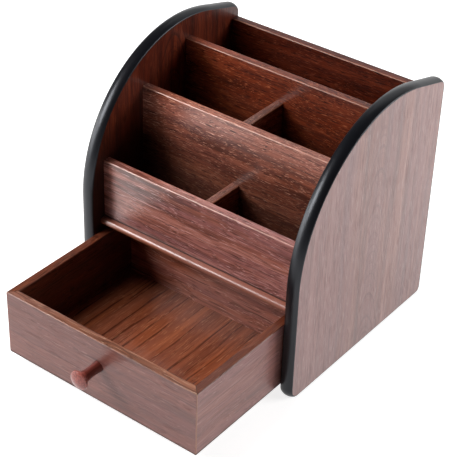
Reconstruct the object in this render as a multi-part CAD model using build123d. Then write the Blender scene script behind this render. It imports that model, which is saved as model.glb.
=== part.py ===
import os
from math import asin, cos, degrees, radians, sin, tan

from build123d import *

# Desk organizer with a drawer. Lengths in millimetres, angles in degrees.
# X runs across the case, Y to its back, Z up from the table.

# Case
case_width = 200.0
case_depth = 178.0
case_height = 206.1
side_thickness = 10.5
board_thickness = 7.0
housing_depth = 3.0
top_round = 1.0

# Outline of the side panels: the rounds are measured over the black edge,
# the level length of the straight slope behind the arc on the wood
slope_run = 35.0
fall_angle = 15.0
front_foot_round = 10.0
back_foot_round = 6.0
back_top_round = 9.3
edge_crown = 2.3
edge_shoulder = 1.2
foot_flattening = 0.8

# Shelf over the drawer and the panels that stand on it
shelf_top = 73.5
shelf_thickness = 6.0
lip_reach = 4.7
lip_flat = 0.2
front_panel_setback = 14.2
front_room = 38.1
middle_room = 44.1
back_inset = 2.8
front_panel_drop = 83.0
middle_divider_drop = 38.8
rear_divider_drop = 18.5
back_panel_drop = 23.2
front_short_drop = 6.0
rear_short_drop = 2.9

# Base under the drawer
base_underside = 4.0
base_thickness = 5.0
base_setback = 1.5
base_round = 0.8

# Drawer
drawer_side_gap = 1.3
drawer_foot_gap = 0.4
drawer_top_gap = 4.1
drawer_wall = 7.0
drawer_pulled_out = 103.5
rim_round = 0.8
corner_round = 0.7
floor_rise = 2.0
floor_thickness = 3.5
floor_tongue = 3.0

# Stop that the closed drawer meets
stop_gap = 0.5
stop_length = 120.0
stop_depth = 12.0
stop_back_room = 10.2
stop_height = 9.0
stop_round = 1.2

# Knob and its screw
knob_rise = 31.5
knob_reach = 22.0
knob_foot_radius = 4.5
knob_waist_radius = 3.9
knob_waist_reach = 7.5
knob_neck_radius = 4.6
knob_neck_run = 3.1
knob_cap_radius = 7.5
knob_rim = 1.5
knob_dome = 1.9
knob_rim_round = 0.5
screw_radius = 1.75
screw_bite = 11.0
screw_head_radius = 3.6
screw_head_height = 2.2
screw_head_round = 1.3
screw_clearance = 0.15

cut_overrun = 20.0

# Places that follow from the sizes
clear_half = case_width / 2 - side_thickness
case_front = -case_depth / 2
case_back = case_depth / 2
board_length = 2 * (clear_half + housing_depth)
front_panel_face = case_front + front_panel_setback
middle_divider_face = front_panel_face + board_thickness + front_room
rear_divider_face = middle_divider_face + board_thickness + middle_room
back_panel_face = case_back - back_inset - board_thickness
front_panel_top = case_height - front_panel_drop
middle_divider_top = case_height - middle_divider_drop
lip_front = front_panel_face - lip_reach
shelf_underside = shelf_top - shelf_thickness
base_top = base_underside + base_thickness
stop_face = back_panel_face - stop_back_room - stop_depth
drawer_half = clear_half - drawer_side_gap
drawer_foot = base_top + drawer_foot_gap
drawer_height = shelf_underside - drawer_top_gap - drawer_foot
drawer_depth = stop_face - stop_gap - lip_front
drawer_front_face = lip_front - drawer_pulled_out
drawer_back_face = drawer_front_face + drawer_depth
knob_axis = drawer_foot + knob_rise
knob_tip = drawer_front_face - knob_reach
bore_radius = screw_radius + screw_clearance
origin_shift = (knob_tip + case_back) / 2


def block(x_low, x_high, y_low, y_high, z_low, z_high):
    size = (x_high - x_low, y_high - y_low, z_high - z_low)
    corner = (Align.MIN, Align.MIN, Align.MIN)
    return Pos(x_low, y_low, z_low) * Box(*size, align=corner)


def long_edges(solid, height):
    level = solid.edges().filter_by(Axis.X)
    return level.filter_by_position(Axis.Z, height, height)


# Boards across the case
def cross_board(face, foot, top):
    half = board_length / 2
    board = block(-half, half, face, face + board_thickness, foot, top)
    return fillet(long_edges(board, top), top_round)


def short_divider(front, back, top):
    half = board_thickness / 2
    board = block(-half, half, front, back, shelf_top, top)
    rims = board.edges().filter_by(Axis.Y).filter_by_position(Axis.Z, top, top)
    return fillet(rims, top_round)


def shelf_board():
    half = board_length / 2
    board = block(-half, half, lip_front, back_panel_face, shelf_underside, shelf_top)
    nose = board.edges().filter_by(Axis.X).group_by(Axis.Y)[0]
    return fillet(nose, (shelf_thickness - lip_flat) / 2)


def base_board():
    half = board_length / 2
    board = block(-half, half, lip_front + base_setback, back_panel_face, base_underside, base_top)
    nose = board.edges().filter_by(Axis.X).group_by(Axis.Y)[0]
    return fillet(nose, base_round)


def stop_batten():
    half = stop_length / 2
    batten = block(-half, half, stop_face, stop_face + stop_depth, base_top, base_top + stop_height)
    upper = batten.edges().group_by(Axis.Z)[-1]
    return fillet(upper, stop_round)


# Side panels
def side_outline():
    front = case_front + edge_crown
    back = case_back - edge_crown
    foot = edge_crown - foot_flattening
    turn = radians(fall_angle)
    radius = (back - front - slope_run) / (1 + sin(turn))
    centre_height = case_height - edge_crown - radius
    rise = (front, centre_height)
    crest = (front + radius, centre_height + radius)
    fall = (back - slope_run, centre_height + radius * cos(turn))
    corner = (back, fall[1] - slope_run * tan(turn))
    lines = Curve() + [
        Line((front, foot), rise),
        RadiusArc(rise, crest, radius),
        RadiusArc(crest, fall, radius),
        Polyline(fall, corner, (back, foot), (front, foot)),
    ]
    shape = make_face(lines)
    rounds = {
        (front, foot): front_foot_round,
        (back, foot): back_foot_round,
        corner: back_top_round,
    }
    for place, round_radius in rounds.items():
        nearest = shape.vertices().sort_by_distance((*place, 0))[0]
        shape = fillet(nearest, round_radius - edge_crown)
    return Plane.YZ * shape


def side_panel(outline, boards):
    panel = Pos(clear_half, 0, 0) * extrude(outline, side_thickness)
    for board in boards:
        panel -= board
    return panel


# Black edge: a low crown between two tight shoulders, carried round the outline of the panel
def edge_profile():
    half = side_thickness / 2
    rise = edge_crown - edge_shoulder
    crown_radius = (half**2 + edge_crown**2 - 2 * half * edge_shoulder) / (2 * rise)
    crown_turn = degrees(asin((half - edge_shoulder) / (crown_radius - edge_shoulder)))
    near = JernArc((0, -half), (1, 0), edge_shoulder, 90 - crown_turn)
    crown = JernArc(near @ 1, near % 1, crown_radius, 2 * crown_turn)
    far = JernArc(crown @ 1, crown % 1, edge_shoulder, 90 - crown_turn)
    return make_face(Curve() + [near, crown, far, Line(far @ 1, near @ 0)])


def edge_trim(outline):
    middle = Vector(clear_half + side_thickness / 2, 0, 0)
    across = Vector(1, 0, 0)
    profile = edge_profile()
    heart = outline.center()
    trim = Part()
    for edge in outline.edges():
        start = edge @ 0
        along = edge % 0
        outward = along.cross(across)
        if outward.dot(start - heart) < 0:
            outward = -outward
        section = Plane(start + middle, x_dir=outward, z_dir=along) * profile
        if edge.geom_type == GeomType.LINE:
            trim += extrude(section, edge.length, dir=along)
        else:
            hub = edge.arc_center
            sense = 1 if across.cross(start - hub).dot(along) > 0 else -1
            axis = Axis(hub, across * sense)
            trim += revolve(section, axis, degrees(edge.length / edge.radius))
    reach = case_width + case_depth
    return trim - block(-reach, reach, -reach, reach, -cut_overrun, 0)


# Drawer: a mitred ring with a floor let into a groove
def drawer_floor():
    half = drawer_half - drawer_wall + floor_tongue
    front = drawer_front_face + drawer_wall - floor_tongue
    back = drawer_back_face - drawer_wall + floor_tongue
    foot = drawer_foot + floor_rise
    return block(-half, half, front, back, foot, foot + floor_thickness)


def drawer_ring():
    top = drawer_foot + drawer_height
    outer = block(-drawer_half, drawer_half, drawer_front_face, drawer_back_face, drawer_foot, top)
    outer = fillet(outer.edges().filter_by(Axis.Z), corner_round)
    inner = block(
        -drawer_half + drawer_wall,
        drawer_half - drawer_wall,
        drawer_front_face + drawer_wall,
        drawer_back_face - drawer_wall,
        drawer_foot - cut_overrun,
        top + cut_overrun,
    )
    ring = outer - inner
    ring = fillet(ring.faces().sort_by(Axis.Z)[-1].edges(), rim_round)
    bore = Rot(90, 0, 0) * Cylinder(bore_radius, drawer_wall + cut_overrun)
    return ring - drawer_floor() - Pos(0, drawer_front_face + drawer_wall / 2, knob_axis) * bore


def mitred_walls(ring):
    middle = (drawer_front_face + drawer_back_face) / 2
    half_depth = drawer_depth / 2
    low = drawer_foot - cut_overrun
    tall = drawer_height + 2 * cut_overrun
    quarters = {
        "drawer_front": (0, drawer_half, half_depth),
        "drawer_right_side": (90, half_depth, drawer_half),
        "drawer_back": (180, drawer_half, half_depth),
    }
    walls = {}
    for name, (turn, half, face) in quarters.items():
        near = -face - cut_overrun
        far = -face + drawer_wall + corner_round
        wide = half + cut_overrun
        narrow = half - drawer_wall - corner_round
        wedge = make_face(Polyline((-wide, near), (wide, near), (narrow, far), (-narrow, far), close=True))
        prism = Pos(0, middle, low) * Rot(0, 0, turn) * extrude(wedge, tall)
        walls[name] = ring & prism
    walls["drawer_left_side"] = mirror(walls["drawer_right_side"], Plane.YZ)
    return walls


# Knob turned in one piece, and the screw that holds it from inside the drawer
def knob_turning():
    rim_front = knob_reach - knob_dome
    rim_back = rim_front - knob_rim
    foot = (knob_foot_radius, 0)
    waist = (knob_waist_radius, knob_waist_reach)
    neck = (knob_neck_radius, rim_back - knob_neck_run)
    flare = (knob_cap_radius, rim_back)
    rim = (knob_cap_radius, rim_front)
    crown = (0, knob_reach)
    stem = ThreePointArc(foot, waist, neck)
    bell = TangentArc(neck, flare, tangent=stem % 1)
    edge = Line(flare, rim)
    dome = TangentArc(crown, rim, tangent=(1, 0))
    spine = Polyline(crown, (0, 0), foot)
    shape = make_face(Curve() + [stem, bell, edge, dome, spine])
    turning = revolve(shape, Axis.Y)
    circles = turning.edges().filter_by(GeomType.CIRCLE)
    rims = circles.filter_by_position(Axis.Y, rim_back, rim_front)
    turning = fillet(rims, knob_rim_round)
    turning -= Rot(90, 0, 0) * Cylinder(bore_radius, 2 * (screw_bite + screw_clearance))
    return Pos(0, drawer_front_face, knob_axis) * Rot(0, 0, 180) * turning


def knob_fastener():
    shank = Cylinder(screw_radius, screw_bite + drawer_wall, align=(Align.CENTER, Align.CENTER, Align.MAX))
    head = Cylinder(screw_head_radius, screw_head_height, align=(Align.CENTER, Align.CENTER, Align.MIN))
    head = fillet(head.edges().sort_by(Axis.Z)[-1], screw_head_round)
    screw = Rot(-90, 0, 0) * (head + shank)
    return Pos(0, drawer_front_face + drawer_wall, knob_axis) * screw


def assembly():
    parts = {
        "shelf": shelf_board(),
        "base_panel": base_board(),
        "front_panel": cross_board(front_panel_face, shelf_top, front_panel_top),
        "middle_divider": cross_board(middle_divider_face, shelf_top, middle_divider_top),
        "rear_divider": cross_board(rear_divider_face, shelf_top, case_height - rear_divider_drop),
        "back_panel": cross_board(back_panel_face, base_underside, case_height - back_panel_drop),
    }
    outline = side_outline()
    sides = {"side_panel": side_panel(outline, list(parts.values())), "edge_trim": edge_trim(outline)}
    for name, solid in sides.items():
        parts["right_" + name] = solid
        parts["left_" + name] = mirror(solid, Plane.YZ)
    front_end = front_panel_face + board_thickness
    rear_start = middle_divider_face + board_thickness
    front_short_top = front_panel_top - front_short_drop
    rear_short_top = middle_divider_top - rear_short_drop
    parts["front_short_divider"] = short_divider(front_end, middle_divider_face, front_short_top)
    parts["rear_short_divider"] = short_divider(rear_start, rear_divider_face, rear_short_top)
    parts["drawer_stop"] = stop_batten()
    parts.update(mitred_walls(drawer_ring()))
    parts["drawer_bottom"] = drawer_floor()
    parts["knob"] = knob_turning()
    parts["knob_screw"] = knob_fastener()
    return parts


os.makedirs("parts", exist_ok=True)
for node, solid in assembly().items():
    export_step(Pos(0, -origin_shift, 0) * solid, os.path.join("parts", node + ".step"))
    print(node, round(solid.volume))
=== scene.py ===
import math

import bmesh
import bpy
from mathutils import Matrix, Vector


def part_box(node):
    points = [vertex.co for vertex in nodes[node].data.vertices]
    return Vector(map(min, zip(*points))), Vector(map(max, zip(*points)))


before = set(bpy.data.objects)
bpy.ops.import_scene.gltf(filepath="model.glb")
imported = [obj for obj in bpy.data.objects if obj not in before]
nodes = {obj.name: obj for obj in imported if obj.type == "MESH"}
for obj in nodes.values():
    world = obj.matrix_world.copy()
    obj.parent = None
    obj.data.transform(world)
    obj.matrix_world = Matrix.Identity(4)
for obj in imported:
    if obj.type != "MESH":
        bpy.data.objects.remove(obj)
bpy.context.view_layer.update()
mm = 0.001
print("frame loaded:", len(nodes), "nodes")


# shader maths

class Flow:
    def __init__(self, tree, socket=None):
        self.tree = tree
        self.socket = socket

    def node(self, kind, settings=None, sockets=None, out=0):
        made = self.tree.nodes.new("ShaderNode" + kind)
        for key, value in (settings or {}).items():
            if key == "stops":
                fillRamp(made.color_ramp, value)
            else:
                setattr(made, key, value)
        for key, value in (sockets or {}).items():
            if isinstance(value, Flow):
                self.tree.links.new(value.socket, made.inputs[key])
            else:
                made.inputs[key].default_value = value
        return Flow(self.tree, made.outputs[out] if made.outputs else None)

    def math(self, operation, *terms):
        return self.node("Math", {"operation": operation}, dict(enumerate(terms)))

    def __add__(self, other):
        return self.math("ADD", self, other)

    def __sub__(self, other):
        return self.math("SUBTRACT", self, other)

    def __rsub__(self, other):
        return self.math("SUBTRACT", other, self)

    def __mul__(self, other):
        return self.math("MULTIPLY", self, other)

    def __truediv__(self, other):
        return self.math("DIVIDE", self, other)

    def __pow__(self, other):
        return self.math("POWER", self, other)

    def __abs__(self):
        return self.math("ABSOLUTE", self)

    __radd__ = __add__
    __rmul__ = __mul__


def fillRamp(ramp, stops):
    while len(ramp.elements) < len(stops):
        ramp.elements.new(1.0)
    for element, (place, colour) in zip(ramp.elements, stops):
        element.position = place
        element.color = (*colour, 1.0)


def newMaterial(name):
    material = bpy.data.materials.new(name)
    material.use_nodes = True
    material.node_tree.nodes.clear()
    return material, Flow(material.node_tree)


def closeMaterial(flow, shader):
    flow.node("OutputMaterial", None, {"Surface": shader})


def mixColour(flow, factor, first, second, blend="MIX"):
    first = first if isinstance(first, Flow) else (*first, 1.0)
    second = second if isinstance(second, Flow) else (*second, 1.0)
    settings = {"data_type": "RGBA", "blend_type": blend}
    return flow.node("Mix", settings, {0: factor, 6: first, 7: second}, out=2)


def smooth(value, low, high):
    sockets = {"Value": value, "From Min": low, "From Max": high}
    return value.node("MapRange", {"interpolation_type": "SMOOTHSTEP"}, sockets)


def noise(flow, place, stretch, detail=2.0, rough=0.5, shift=(0, 0, 0)):
    # stretch is the size of a blotch along each axis, in millimetres
    scale = [1.0 / size for size in stretch]
    spot = flow.node("Mapping", None, {"Vector": place, "Location": shift, "Scale": scale})
    return flow.node("TexNoise", None, {"Vector": spot, "Scale": 1.0, "Detail": detail, "Roughness": rough})


def bumpNormal(flow, height, distance, strength=1.0):
    return flow.node("Bump", None, {"Height": height, "Distance": distance, "Strength": strength})


def objectPlace(flow):
    # object coordinates in millimetres
    spot = flow.node("TexCoord", out=3)
    return flow.node("VectorMath", {"operation": "SCALE"}, {0: spot, "Scale": 1 / mm})


# walnut film: the printed and embossed wood skin on every board

walnut = {
    "deep": (0.060, 0.012, 0.0045),
    "middle": (0.205, 0.050, 0.020),
    "pale": (0.34, 0.105, 0.048),
    "mauve": (0.19, 0.058, 0.036),
    "pore": (0.035, 0.008, 0.004),
    # painted highlight: colour of pale flecks that stand in for glints
    "glint": (0.60, 0.27, 0.15),
    # partly wear and partly painted highlight along the arrises
    "wearAndHighlight": (0.52, 0.25, 0.16),
    # dark colour for real dirt in mitre seams and at the film's end, and for painted shade at the feet of
    # boards and deep in compartments
    "grimeAndShade": (0.03, 0.012, 0.008),
    # painted light: lightens the drawer rim's top as if lit from above
    "rim": (1.35, 1.75, 1.5),
    # reach of each mark from its edge, in millimetres
    "wearHighlightReach": (0.3, 0.9),
    "wearHighlightPatch": 14,
    "rimReach": (0.9, 0.3),
    "seamReach": (0.12, 0.5),
    "footReach": (0.4, 1.6),
    "endReach": (0.9, 0.4),
    # strength of each mark
    "wearHighlightShare": (0.4, 0.3),
    "hueShare": 0.5,
    "seamShare": 0.8,
    "footShare": 0.85,
    "endShare": 0.75,
    "roughness": 0.5,
    "sheen": 0.15,
    "coatRoughness": 0.25,
    "coatIor": 1.75,
}
looks = {
    # sizes in millimetres along and across the grain, then how strong each mark is
    "board": {"band": (150, 6), "line": (60, 1.0), "dash": (11, 0.55), "fleck": (7, 0.4), "wave": 5.0,
              "figure": 1.2, "lines": 0.8, "dashes": 0.95, "flecks": 0.9},
    "panel": {"band": (110, 5), "line": (38, 0.9), "dash": (16, 0.6), "fleck": (16, 0.5), "wave": 4.0,
              "figure": 1.2, "lines": 0.75, "dashes": 0.75, "flecks": 0.5},
    "lip": {"band": (110, 5), "line": (50, 0.9), "dash": (20, 0.6), "fleck": (20, 0.6), "wave": 3.0,
            "figure": 0.6, "lines": 0.2, "dashes": 0.1, "flecks": 0.1},
    "drawer": {"band": (160, 7), "line": (90, 1.4), "dash": (26, 0.7), "fleck": (26, 0.7), "wave": 8.0,
               "figure": 0.8, "lines": 0.75, "dashes": 0.5, "flecks": 0.35},
    "floor": {"band": (400, 12), "line": (420, 2.4), "dash": (22, 0.7), "fleck": (12, 0.6), "wave": 3.0,
              "figure": 0.9, "lines": 0.95, "dashes": 0.3, "flecks": 0.3},
    "side": {"band": (230, 7), "line": (80, 1.1), "dash": (16, 0.65), "fleck": (12, 0.6), "wave": 2.5,
             "figure": 1.2, "lines": 0.75, "dashes": 0.55, "flecks": 0.35,
             "arch": {"middle": 64.0, "spread": 8.0, "line": 5.0, "half": (16, 30), "strength": 0.8}},
}
grainTurns = {"x": (0, 0, 0), "y": (0, 0, -math.pi / 2), "z": (0, math.pi / 2, 0)}


def lineDistance(axes, line):
    # distance from a straight arris that runs along the axis that line leaves out
    total = None
    for axis, place in line.items():
        step = (axes[axis] - place) ** 2.0
        total = step if total is None else total + step
    return total ** 0.5


def splitAxes(flow, place):
    parts = flow.node("SeparateXYZ", None, {"Vector": place})
    outs = parts.socket.node.outputs
    return {axis: Flow(flow.tree, outs[index]) for index, axis in enumerate("xyz")}


def grainNoise(flow, place, size, detail, shift):
    along, across = size
    return noise(flow, place, (along, across, across), detail, 0.55, shift)


def walnutFilm(name, grain, seed, look, arrises=(), tint=(1, 1, 1), outer=None, seams=None, foot=None,
               deep=None, coat=1.0):
    material, flow = newMaterial(name)
    look = looks[look]
    place = objectPlace(flow)
    axes = splitAxes(flow, place)
    turned = flow.node("Mapping", None, {"Vector": place, "Rotation": grainTurns[grain]})
    away = (seed * 37.0, seed * 11.0, seed * 23.0)

    drift = (noise(flow, turned, (160, 50, 50), 1.0, 0.5, away) - 0.5) * (look["wave"] * 2.2)
    sway = (noise(flow, turned, (38, 12, 12), 1.0, 0.5, away) - 0.5) * look["wave"]
    shift = flow.node("CombineXYZ", None, {"Y": drift + sway, "Z": drift + sway})
    wavy = flow.node("VectorMath", {"operation": "ADD"}, {0: turned, 1: shift})

    band = grainNoise(flow, wavy, look["band"], 3.0, away)
    hue = smooth(grainNoise(flow, wavy, (240, 15), 2.0, (seed, seed * 7.0, 5.0)), 0.38, 0.62)
    line = smooth(grainNoise(flow, wavy, look["line"], 2.0, away), 0.52, 0.68)
    dash = smooth(grainNoise(flow, wavy, look["dash"], 1.0, away), 0.56, 0.68)
    fleck = smooth(grainNoise(flow, wavy, look["fleck"], 1.0, (seed * 5.0, 3.0, seed)), 0.60, 0.72)

    ramp = [(0.0, walnut["deep"]), (0.5, walnut["middle"]), (1.0, walnut["pale"])]
    wood = flow.node("ValToRGB", {"stops": ramp}, {"Fac": (band - 0.5) * (2.2 * look["figure"]) + 0.5})
    wood = mixColour(flow, hue * walnut["hueShare"], wood, walnut["mauve"])
    wood = mixColour(flow, line * look["lines"], wood, walnut["deep"])
    if "arch" in look:
        # nested arches of a flat-sawn board, up the middle of the face
        arch = look["arch"]
        aside = axes["y"] + sway - arch["middle"]
        rise = flow.node("CombineXYZ", None, {"Y": axes["z"] + aside ** 2.0 / arch["spread"]})
        rings = smooth(noise(flow, rise, (1, arch["line"], 1), 2.0, 0.6, away), 0.46, 0.66)
        inside = 1 - smooth(abs(aside), *arch["half"])
        wood = mixColour(flow, rings * inside * arch["strength"], wood, walnut["deep"])
    wood = mixColour(flow, dash * look["dashes"], wood, walnut["pore"])
    # painted highlight: pale flecks stand in for glints in the embossed pores
    wood = mixColour(flow, fleck * look["flecks"], wood, walnut["glint"])
    # painted light and shade: the tint makes a board's film paler or darker to stand for how it is lit
    wood = mixColour(flow, 1.0, wood, tint, "MULTIPLY")
    rim = smooth(axes["z"], *(seams["rim"] - reach for reach in walnut["rimReach"])) if seams else None
    if outer:
        # painted light: the outer face of an upright is tinted paler and pinker than its inner face, which
        # is tinted darker, and gets a pale sheen colour washed over it; lit and shaded copies of one film
        outside = smooth(abs(axes[outer["axis"]] - outer["middle"]), outer["from"], outer["from"] + 0.5)
        outside = outside * (1 - rim) if seams else outside
        shade = mixColour(flow, outside, outer["inside"], outer["outside"])
        wood = mixColour(flow, 1.0, wood, shade, "MULTIPLY")
        wood = mixColour(flow, outside * outer["sheenWash"], wood, outer["colour"])
        if "end" in outer:
            # dark line where the film stops at the back edge
            last = smooth(axes["y"], *(outer["end"] - reach for reach in walnut["endReach"]))
            wood = mixColour(flow, outside * last * walnut["endShare"], wood, walnut["grimeAndShade"])

    # partly real wear and partly painted highlight: a pale line along each arris stands in for its gleam
    rubAndHighlight = None
    for arris in arrises:
        near = 1 - smooth(lineDistance(axes, arris), *walnut["wearHighlightReach"])
        rubAndHighlight = near if rubAndHighlight is None else rubAndHighlight.math("MAXIMUM", rubAndHighlight, near)
    if rubAndHighlight is not None:
        patchy = smooth(noise(flow, place, (walnut["wearHighlightPatch"],) * 3, 3.0, 0.6, away), 0.35, 0.65)
        least, more = walnut["wearHighlightShare"]
        wood = mixColour(flow, rubAndHighlight * (least + more * patchy), wood, walnut["wearAndHighlight"])
    if seams:
        # hairline where two drawer walls meet in a mitre, seen on the rim
        across = (seams["half"][0] - abs(axes["x"])) - (seams["half"][1] - abs(axes["y"] - seams["middle"]))
        # painted light: the rim's top is lightened as if lit from above
        wood = mixColour(flow, rim, wood, mixColour(flow, 1.0, wood, walnut["rim"], "MULTIPLY"))
        joint = (1 - smooth(abs(across), *walnut["seamReach"])) * rim
        wood = mixColour(flow, joint * walnut["seamShare"], wood, walnut["grimeAndShade"])
    gloss = coat * (0.95 - dash * 0.45)
    if deep:
        # painted shade: the film is darkened toward one side, such as toward the floor of a compartment
        sunkShade = smooth(axes[deep["axis"]], deep["from"], deep["to"])
        sunkShade = (sunkShade * (1 - outside) if outer else sunkShade) * deep["strength"]
        wood = mixColour(flow, sunkShade, wood, walnut["grimeAndShade"])
        gloss = gloss * (1 - sunkShade)
    if outer and "inner" in outer:
        gloss = gloss * (outer["inner"] + outside * (1 - outer["inner"]))
    # painted shade: the film is darkened and its lacquer dulled along the foot of a board or wall, where
    # shade gathers
    if foot is not None:
        low = 1 - smooth(axes["z"], *(foot + reach for reach in walnut["footReach"]))
        wood = mixColour(flow, low * walnut["footShare"], wood, walnut["grimeAndShade"])
        gloss = gloss * (1 - low * 0.8)

    relief = fleck * look["flecks"] * 0.7 - dash * look["dashes"] * 1.2 - line * look["lines"] * 0.8
    rough = walnut["roughness"] + (band - 0.5) * 0.2 + dash * 0.12
    shader = flow.node("BsdfPrincipled", None, {
        "Base Color": wood,
        "Roughness": rough,
        "Specular IOR Level": walnut["sheen"],
        "Normal": bumpNormal(flow, relief, 0.0001, 0.6),
        "Coat Weight": gloss,
        "Coat Roughness": walnut["coatRoughness"],
        "Coat IOR": walnut["coatIor"],
    })
    closeMaterial(flow, shader)
    return material


def corners(node):
    low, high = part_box(node)
    return [value / mm for value in low], [value / mm for value in high]


def topArrises(node, run):
    # the two upper long arrises of a board that runs along the axis run
    low, high = corners(node)
    other = "y" if run == "x" else "x"
    index = "xyz".index(other)
    return [{other: low[index], "z": high[2]}, {other: high[index], "z": high[2]}]


def dress(node, material):
    mesh = nodes[node].data
    mesh.materials.clear()
    mesh.materials.append(material)


boards = {
    # grain, seed, look, tint and lacquer of each board of the case; the tints paint light and shade, darker
    # for the rear boards and paler, bluer for the front panel, middle divider and shelf lip
    "back_panel": ("x", 1.0, "board", (0.42, 0.23, 0.18), 0.5),
    "front_panel": ("x", 2.0, "panel", (1.6, 2.1, 3.6), 1.0),
    "middle_divider": ("x", 3.0, "board", (1.45, 1.5, 1.8), 1.0),
    "rear_divider": ("x", 4.0, "board", (0.82, 0.5, 0.34), 0.55),
    "shelf": ("x", 5.0, "lip", (1.6, 2.0, 2.6), 1.0),
    "front_short_divider": ("y", 6.0, "board", (0.95, 0.95, 1.05), 0.9),
    "rear_short_divider": ("y", 7.0, "board", (0.95, 0.9, 0.95), 0.9),
}
depthShades = {
    # painted shade: where it starts, where it is darkest and how dark it gets there, millimetres
    "middle_divider": {"axis": "z", "from": 162.0, "to": 98.0, "strength": 0.75},
    "rear_divider": {"axis": "z", "from": 186.0, "to": 115.0, "strength": 0.5},
    "front_short_divider": {"axis": "z", "from": 117.0, "to": 85.0, "strength": 0.6},
    "rear_short_divider": {"axis": "z", "from": 164.0, "to": 110.0, "strength": 0.6},
    "shelf": {"axis": "y", "from": -11.0, "to": -9.0, "strength": 0.9},
    "sides": {"axis": "z", "from": 165.0, "to": 105.0, "strength": 0.85},
}
for node, (run, seed, look, tint, coat) in boards.items():
    # painted shade: the front panel is darkened along its foot, in the crease where it meets the shelf
    joint = corners(node)[0][2] + 0.5 if node == "front_panel" else None
    dress(node, walnutFilm(node + "_film", run, seed, look, topArrises(node, run), tint, foot=joint,
                           deep=depthShades.get(node), coat=coat))

sideFaces = {
    # painted light and shade: tints of the inner (darker) and outer (paler) film, the painted sheen washed
    # over the outer one, and the share of lacquer inside
    "axis": "x",
    "middle": 0.0,
    "from": 97.5,
    "inside": (0.5, 0.26, 0.17),
    "outside": (1.42, 2.4, 4.2),
    "colour": (0.31, 0.158, 0.148),
    "sheenWash": 0.48,
    "inner": 0.5,
    "end": corners("right_side_panel")[1][1],
}
sideCoat = 0.85
for seed, node in enumerate(("left_side_panel", "right_side_panel")):
    dress(node, walnutFilm(node + "_film", "z", 12.0 + seed, "side", outer=sideFaces, deep=depthShades["sides"],
                           coat=sideCoat))

drawerLow, drawerHigh = corners("drawer_left_side")[0], corners("drawer_right_side")[1]
rimSeams = {
    "half": (drawerHigh[0], (drawerHigh[1] - drawerLow[1]) / 2),
    "middle": (drawerHigh[1] + drawerLow[1]) / 2,
    "rim": drawerHigh[2],
}
# painted light and shade: each wall's tint stands for how it is lit, the back wall paler and bluer, the
# front bluer
drawerWalls = {
    "drawer_front": ("x", 8.0, (0.85, 0.95, 1.4)),
    "drawer_back": ("x", 9.0, (1.7, 2.1, 3.0)),
    "drawer_left_side": ("y", 10.0, (0.9, 0.9, 1.05)),
    "drawer_right_side": ("y", 11.0, (0.9, 0.9, 1.05)),
}
# painted light and shade: the side walls' inner faces are tinted darker than their outer faces, and every
# outer face is washed with a painted sheen colour
wallFaces = {
    "x": {"axis": "x", "middle": 0.0, "from": 84.7, "inside": (0.45, 0.3, 0.26),
          "outside": (1.55, 2.1, 3.1), "colour": (0.31, 0.155, 0.14), "sheenWash": 0.48},
    "y": {"axis": "y", "middle": rimSeams["middle"], "from": 64.4, "inside": (1, 1, 1),
          "outside": (1, 1, 1.05), "colour": (0.20, 0.08, 0.07), "sheenWash": 0.4},
}
drawerEnds = (drawerLow[1], drawerHigh[1])
drawerCorners = [{"x": side * drawerHigh[0], "y": end} for side in (-1, 1) for end in drawerEnds]
drawerCoat = 0.52
# painted shade: each wall is darkened along its lower edge
for node, (run, seed, tint) in drawerWalls.items():
    faces = wallFaces["x" if run == "y" else "y"]
    dress(node, walnutFilm(node + "_film", run, seed, "drawer", drawerCorners, tint, seams=rimSeams,
                           outer=faces, foot=drawerLow[2], coat=drawerCoat))
# painted light: the drawer floor's film is tinted paler
bottomLook = {"tint": (1.22, 1.25, 1.15), "coat": 0.7}
dress("drawer_bottom", walnutFilm("drawer_bottom_film", "y", 14.0, "floor", **bottomLook))
hiddenLook = {"tint": (0.9, 0.9, 0.9), "coat": 0.2}
for seed, node in enumerate(("base_panel", "drawer_stop")):
    dress(node, walnutFilm(node + "_film", "x", 15.0 + seed, "board", **hiddenLook))
print("walnut film on", len(boards) + len(drawerWalls) + 5, "boards")


# black edge round the side panels

blackEdge = {"colour": (0.003, 0.003, 0.0045), "gleam": (0.9, 0.93, 1.0), "scuff": (0.02, 0.019, 0.02),
             "roughness": 0.32, "sheen": 0.42}


def blackGloss(name):
    material, flow = newMaterial(name)
    place = objectPlace(flow)
    peel = noise(flow, place, (1.6, 1.6, 1.6), 2.0)
    cloud = noise(flow, place, (22, 22, 22), 3.0, 0.6)
    scuffs = smooth(noise(flow, place, (9, 0.5, 9), 2.0, 0.6), 0.66, 0.76)
    colour = mixColour(flow, scuffs * 0.5, blackEdge["colour"], blackEdge["scuff"])
    shader = flow.node("BsdfPrincipled", None, {
        "Base Color": colour,
        "Roughness": blackEdge["roughness"] + (cloud - 0.5) * 0.12 + scuffs * 0.12,
        "Specular IOR Level": blackEdge["sheen"],
        "Specular Tint": (*blackEdge["gleam"], 1.0),
        "Normal": bumpNormal(flow, peel, 0.00002, 0.4),
    })
    closeMaterial(flow, shader)
    return material


edgeBlack = blackGloss("black_edge_gloss")
for node in ("left_edge_trim", "right_edge_trim"):
    dress(node, edgeBlack)
print("black edge done")


# knob and screw

knobLook = {
    "disc": (0.36, 0.085, 0.065),
    "stem": (0.15, 0.026, 0.018),
    "dark": (0.06, 0.011, 0.008),
    "cap": -140.5,  # where the cap begins, millimetres
    "roughness": 0.36,
    "lacquer": 0.45,
}


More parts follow.
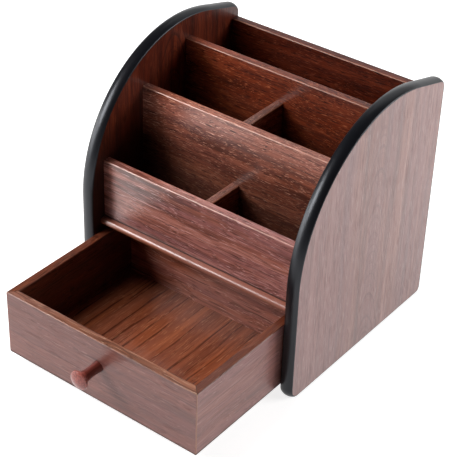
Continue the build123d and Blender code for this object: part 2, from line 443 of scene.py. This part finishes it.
def mahogany(name):
    material, flow = newMaterial(name)
    place = objectPlace(flow)
    vein = noise(flow, place, (1.3, 24, 1.3), 3.0, 0.6)
    fleck = smooth(noise(flow, place, (0.4, 3.5, 0.4), 1.0), 0.6, 0.72)
    cap = 1 - smooth(splitAxes(flow, place)["y"], knobLook["cap"] - 1.0, knobLook["cap"] + 1.5)
    colour = mixColour(flow, cap, knobLook["stem"], knobLook["disc"])
    colour = mixColour(flow, (1 - smooth(vein, 0.25, 0.7)) * 0.7, colour, knobLook["dark"])
    colour = mixColour(flow, fleck * 0.4, colour, knobLook["dark"])
    shader = flow.node("BsdfPrincipled", None, {
        "Base Color": colour,
        "Roughness": knobLook["roughness"] + (vein - 0.5) * 0.15,
        "Normal": bumpNormal(flow, vein, 0.00003, 0.4),
        "Specular IOR Level": 0.3,
        "Coat Weight": knobLook["lacquer"] - fleck * 0.2,
        "Coat Roughness": 0.14,
        "Coat IOR": 1.45,
    })
    closeMaterial(flow, shader)
    return material


dress("knob", mahogany("knob_mahogany"))


screwLook = {
    "zinc": (0.62, 0.62, 0.60),
    "dull": (0.40, 0.40, 0.40),
    "recess": (0.05, 0.05, 0.05),
    "arm": (1.9, 0.45),  # reach and half width of the driver's cross, millimetres
}


def zinc(name):
    material, flow = newMaterial(name)
    place = objectPlace(flow)
    cloud = noise(flow, place, (1.2, 1.2, 1.2), 3.0, 0.6)
    colour = mixColour(flow, smooth(cloud, 0.35, 0.65), screwLook["dull"], screwLook["zinc"])
    low, high = corners("knob_screw")
    axes = splitAxes(flow, place)
    aside, rise = abs(axes["x"]), abs(axes["z"] - (low[2] + high[2]) / 2)
    reach, width = screwLook["arm"]
    thin = 1 - smooth(aside.math("MINIMUM", aside, rise), width - 0.1, width + 0.1)
    near = 1 - smooth(aside.math("MAXIMUM", aside, rise), reach - 0.2, reach + 0.1)
    cross = thin * near * smooth(axes["y"], high[1] - 0.6, high[1] - 0.4)
    # painted shade: the driver's cross is painted dark, standing in for the shade in its recess
    colour = mixColour(flow, cross * 0.9, colour, screwLook["recess"])
    shader = flow.node("BsdfPrincipled", None, {
        "Base Color": colour,
        "Metallic": 1.0,
        "Roughness": 0.28 + (cloud - 0.5) * 0.25,
        "Normal": bumpNormal(flow, cloud * 0.1 - cross, 0.0003, 0.8),
    })
    closeMaterial(flow, shader)
    return material


dress("knob_screw", zinc("screw_zinc"))
print("knob and screw done")


# studio

studio = {
    "floorColour": (0.6, 0.6, 0.6),
    "floorSize": 8.0,
    "floorGlow": 0.22,
    "floorLift": 0.6,
    "floorMirror": 0.58,
    "floorFade": (0.4, 1.4),
    "worldLight": 0.004,
    "mirrorLow": 0.15,
    "mirrorHigh": 0.06,
    "mirrorClimb": (0.1, 0.75),
    "mirrorBack": 1.1,
    "backSpread": (0.45, 0.85),
    "backTop": (0.25, 0.5),
}
lamps = {
    "keySoftbox": {"place": (-0.62, -0.12, 1.05), "size": (0.9, 0.9), "watts": 13, "gleam": False},
    "frontSoftbox": {"place": (-0.71, -0.68, 0.68), "size": (0.5, 0.5), "watts": 10.5},
    "leftStrip": {"place": (-0.98, -0.60, 0.22), "size": (0.9, 0.25), "watts": 5.0, "fill": False},
    "backSoftbox": {"place": (-0.25, 0.80, 0.90), "size": (0.9, 0.5), "watts": 1.0},
    "rightCard": {"place": (0.98, 0.64, 0.56), "size": (0.7, 0.4), "watts": 8.7},
}
lampAim = Vector((0.0, 0.02, 0.08))


def rayKinds(flow):
    # 1 for rays to the eye or through glass, and 1 for rays of a reflection
    path = flow.node("LightPath").socket.node.outputs
    kinds = ("Is Camera Ray", "Is Glossy Ray", "Is Transmission Ray")
    camera, glossy, glass = (Flow(flow.tree, path[kind]) for kind in kinds)
    return camera.math("MAXIMUM", camera, glass), glossy


def makeFloor():
    shape = bmesh.new()
    bmesh.ops.create_grid(shape, x_segments=1, y_segments=1, size=studio["floorSize"] / 2)
    mesh = bpy.data.meshes.new("floor")
    shape.to_mesh(mesh)
    shape.free()
    floor = bpy.data.objects.new("floor", mesh)
    bpy.context.scene.collection.objects.link(floor)
    material, flow = newMaterial("floor_white")
    matte = flow.node("BsdfDiffuse", None, {"Color": (*studio["floorColour"], 1.0)})
    white, mirrored = rayKinds(flow)
    away = flow.node("VectorMath", {"operation": "LENGTH"}, {0: flow.node("TexCoord", out=3)}, out=1)
    missing = 1 - studio["floorGlow"] - studio["floorLift"]
    lift = studio["floorLift"] + smooth(away, *studio["floorFade"]) * missing
    lift = studio["floorGlow"] + white * lift + mirrored * (1 - white) * studio["floorMirror"]
    glow = flow.node("Emission", None, {"Color": lift, "Strength": 1.0})
    closeMaterial(flow, flow.node("AddShader", None, {0: matte, 1: glow}))
    mesh.materials.append(material)


def makeWorld():
    # white to the eye, dim as light, and a sky that darkens upwards for reflections
    world = bpy.data.worlds.new("studio")
    world.use_nodes = True
    world.node_tree.nodes.clear()
    flow = Flow(world.node_tree)
    white, mirrored = rayKinds(flow)
    toward = splitAxes(flow, flow.node("TexCoord", out=0))
    climb = studio["mirrorHigh"] - studio["mirrorLow"]
    mirror = studio["mirrorLow"] + smooth(toward["z"], *studio["mirrorClimb"]) * climb
    backdrop = smooth(toward["y"], *studio["backSpread"]) * (1 - smooth(toward["z"], *studio["backTop"]))
    mirror = mirror + backdrop * studio["mirrorBack"]
    strength = studio["worldLight"] + white * (1.0 - studio["worldLight"]) + mirrored * (1 - white) * mirror
    sky = flow.node("Background", None, {"Color": (1, 1, 1, 1), "Strength": strength})
    flow.node("OutputWorld", None, {"Surface": sky})
    bpy.context.scene.world = world


def makeLamps():
    for name, lamp in lamps.items():
        data = bpy.data.lights.new(name, "AREA")
        data.shape = "RECTANGLE"
        data.size, data.size_y = lamp["size"]
        data.energy = lamp["watts"]
        light = bpy.data.objects.new(name, data)
        light.location = lamp["place"]
        light.visible_camera = False
        light.visible_diffuse = lamp.get("fill", True)
        light.visible_glossy = lamp.get("gleam", True)
        light.rotation_euler = (lampAim - light.location).to_track_quat("-Z", "Y").to_euler()
        bpy.context.scene.collection.objects.link(light)


makeFloor()
makeWorld()
makeLamps()
print("studio done")


# camera

cameraLook = {
    "aim": (-7.4, 26.68, 75.01),  # millimetres
    "azimuth": 36.83,
    "elevation": 34.269,
    "roll": 1.894,
    "distance": 1106.01,
    "lens": 117.36,
}


def makeCamera():
    turn, tilt, roll = (math.radians(cameraLook[key]) for key in ("azimuth", "elevation", "roll"))
    back = Vector((math.sin(turn) * math.cos(tilt), -math.cos(turn) * math.cos(tilt), math.sin(tilt)))
    level = Vector((math.cos(turn), math.sin(turn), 0.0))
    upright = back.cross(level)
    right = level * math.cos(roll) + upright * math.sin(roll)
    up = upright * math.cos(roll) - level * math.sin(roll)
    eye = (Vector(cameraLook["aim"]) + back * cameraLook["distance"]) * mm
    data = bpy.data.cameras.new("camera")
    data.sensor_fit = "HORIZONTAL"
    data.sensor_width = 36.0
    data.lens = cameraLook["lens"]
    data.clip_end = 50.0
    camera = bpy.data.objects.new("camera", data)
    camera.matrix_world = Matrix((right, up, back)).transposed().to_4x4()
    camera.location = eye
    bpy.context.scene.collection.objects.link(camera)
    bpy.context.scene.camera = camera


makeCamera()
bpy.context.scene.view_settings.view_transform = "Standard"
print("camera done")
